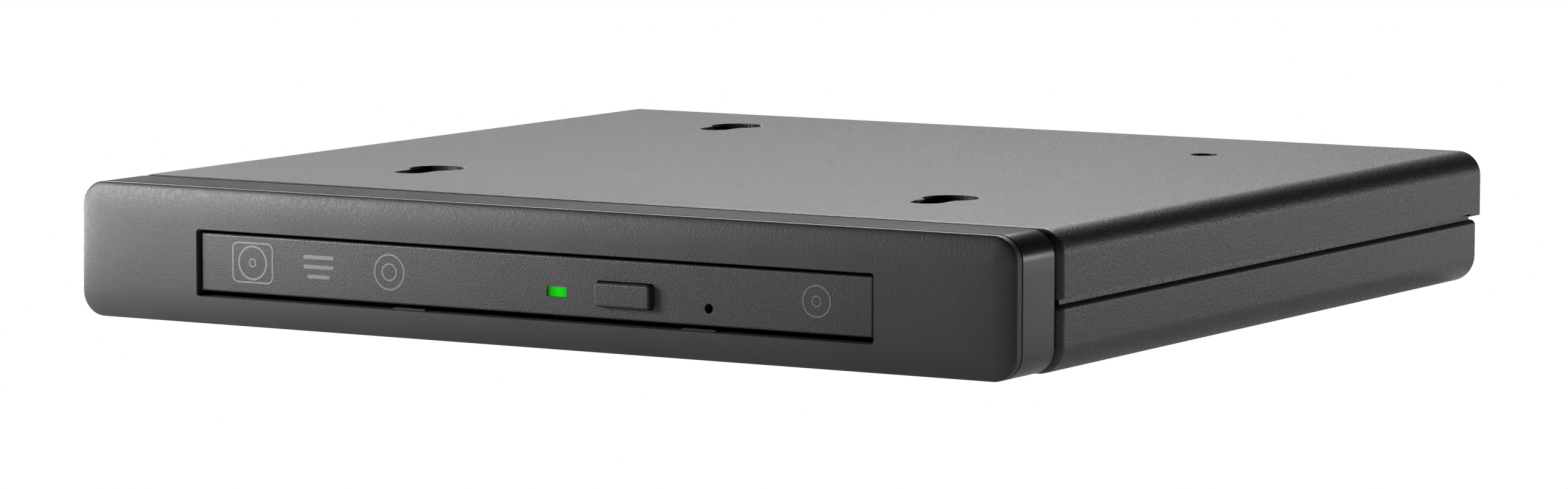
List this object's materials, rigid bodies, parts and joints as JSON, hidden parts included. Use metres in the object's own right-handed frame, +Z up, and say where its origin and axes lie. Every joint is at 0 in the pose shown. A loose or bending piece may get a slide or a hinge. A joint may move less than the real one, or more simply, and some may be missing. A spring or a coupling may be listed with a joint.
{
  "type": "dvd writer module",
  "caption": "Low dark module with a slim tray-loading disc writer: telescopic tray, lit lamp and eject button in a recessed face, two-shell steel case with keyholes on top",
  "frame": {"origin": "middle of the bounding box, at the underside of the feet", "axes": "X to the right seen from the front, Y to the back, Z up"},
  "size_m": [0.178, 0.1754, 0.0244],
  "materials": {
    "cap_plastic": "fine texture",
    "band_plastic": "satin",
    "case_steel": "textured powder coat",
    "rubber": "matt",
    "dark_screw": "blackened",
    "bright_screw": "plain",
    "zinc_sheet": "zinc coated",
    "board_green": "lacquered board",
    "chip_black": "moulded",
    "port_shell": "plated",
    "plug_black": "moulded",
    "rail_plastic": "natural",
    "rail_metal": "drawn",
    "tray_plastic": "fine texture",
    "face_plastic": "grained",
    "lamp": "tinted",
    "ribbon": "film",
    "frame_grey": "cast",
    "coil_copper": "wound",
    "rotor_steel": "turned",
    "ball_steel": "polished",
    "sled_dark": "cast",
    "holder_black": "moulded",
    "lens_glass": "coated",
    "latch_plastic": "natural"
  },
  "bodies": {
    "module": {"front_cap": "cap_plastic", "bezel_band": "band_plastic", "top_cover": "case_steel", "base_tray": "case_steel", "rubber_feet": "rubber", "cover_screws": "dark_screw", "bracket_screws": "dark_screw", "drive_bracket_left": "zinc_sheet", "drive_bracket_right": "zinc_sheet", "drive_screws": "bright_screw", "adaptor_board": "board_green", "board_chips": "chip_black", "usb_inlet": "port_shell", "drive_socket": "plug_black", "drive_connector": "plug_black", "drive_chassis": "zinc_sheet", "drive_top_cover": "zinc_sheet", "rail_guide_left": "rail_plastic", "rail_guide_right": "rail_plastic", "lock_post": "rail_metal", "flex_cable": "ribbon"},
    "tray": {"tray": "tray_plastic", "tray_bottom_cover": "zinc_sheet", "drive_bezel": "face_plastic", "led_lens": "lamp", "front_board": "board_green", "eject_switch": "chip_black", "tray_board": "board_green", "tray_chips": "chip_black", "traverse_frame": "frame_grey", "traverse_cover": "zinc_sheet", "traverse_dampers": "rubber", "motor_base": "zinc_sheet", "motor_stator": "coil_copper", "guide_rods": "ball_steel", "feed_motor": "rotor_steel", "latch_pin": "rail_metal", "latch_magnet": "coil_copper", "eject_spring": "rail_metal"},
    "eject_button": {"eject_button": "face_plastic"},
    "rail_left": {"rail_left": "rail_metal"},
    "rail_right": {"rail_right": "rail_metal"},
    "turntable": {"turntable": "rotor_steel", "turntable_pad": "rubber"},
    "chuck_ball_1": {"chuck_ball_1": "ball_steel"},
    "chuck_ball_2": {"chuck_ball_2": "ball_steel"},
    "chuck_ball_3": {"chuck_ball_3": "ball_steel"},
    "pickup_sled": {"pickup_sled": "sled_dark", "sled_nut": "latch_plastic"},
    "lens_holder": {"lens_holder": "holder_black", "objective_lens": "lens_glass"},
    "leadscrew": {"leadscrew": "rail_metal"},
    "latch_lever": {"latch_lever": "latch_plastic"},
    "release_slide": {"release_slide": "latch_plastic"},
    "eject_plunger": {"eject_plunger": "latch_plastic"}
  },
  "joints": [
    {"name": "tray_slide", "type": "slide", "parent": "module", "child": "tray", "axis": [0, -1, 0], "range_m": [0, 0.127], "deforming": ["flex_cable"]},
    {"name": "rail_left_slide", "type": "slide", "parent": "module", "child": "rail_left", "axis": [0, -1, 0], "range_m": [0, 0.0635]},
    {"name": "rail_right_slide", "type": "slide", "parent": "module", "child": "rail_right", "axis": [0, -1, 0], "range_m": [0, 0.0635]},
    {"name": "eject_button_press", "type": "slide", "parent": "tray", "child": "eject_button", "axis": [0, 1, 0], "range_m": [0, 0.0006], "stiffness_N_per_m": 400},
    {"name": "turntable_spin", "type": "hinge", "parent": "tray", "child": "turntable", "pos_m": [-0.0004, -0.01968, 0.01135], "axis": [0, 0, 1], "continuous": true},
    {"name": "chuck_ball_1_slide", "type": "slide", "parent": "turntable", "child": "chuck_ball_1", "axis": [0.7071, 0.7071, 0], "range_m": [0, 0.00035], "stiffness_N_per_m": 200},
    {"name": "chuck_ball_2_slide", "type": "slide", "parent": "turntable", "child": "chuck_ball_2", "axis": [-0.9659, 0.2588, 0], "range_m": [0, 0.00035], "stiffness_N_per_m": 200},
    {"name": "chuck_ball_3_slide", "type": "slide", "parent": "turntable", "child": "chuck_ball_3", "axis": [0.2588, -0.9659, 0], "range_m": [0, 0.00035], "stiffness_N_per_m": 200},
    {"name": "sled_slide", "type": "slide", "parent": "tray", "child": "pickup_sled", "axis": [-0.7071, -0.7071, 0], "range_m": [0, 0.033]},
    {"name": "leadscrew_spin", "type": "hinge", "parent": "tray", "child": "leadscrew", "pos_m": [-0.00945, -0.05305, 0.00995], "axis": [-0.7071, -0.7071, 0], "continuous": true},
    {"name": "lens_focus", "type": "slide", "parent": "pickup_sled", "child": "lens_holder", "axis": [0, 0, 1], "range_m": [-0.00035, 0.00035], "stiffness_N_per_m": 100},
    {"name": "release_slide_push", "type": "slide", "parent": "tray", "child": "release_slide", "axis": [0, 1, 0], "range_m": [0, 0.0015], "stiffness_N_per_m": 300},
    {"name": "latch_swing", "type": "hinge", "parent": "tray", "child": "latch_lever", "pos_m": [0.0406, -0.05257, 0.00955], "axis": [0, 0, -1], "range_deg": [0, 12]},
    {"name": "eject_plunger_slide", "type": "slide", "parent": "tray", "child": "eject_plunger", "axis": [0, 1, 0], "range_m": [0, 0.012]}
  ],
  "couplings": [
    {"joint": "rail_left_slide", "follows": "tray_slide", "ratio": 0.5},
    {"joint": "rail_right_slide", "follows": "tray_slide", "ratio": 0.5},
    {"joint": "eject_plunger_slide", "follows": "tray_slide", "ratio": 0.094488},
    {"joint": "leadscrew_spin", "follows": "sled_slide", "rad_per_m": 2094.4},
    {"joint": "latch_swing", "follows": "release_slide_push", "rad_per_m": 138.89}
  ]
}
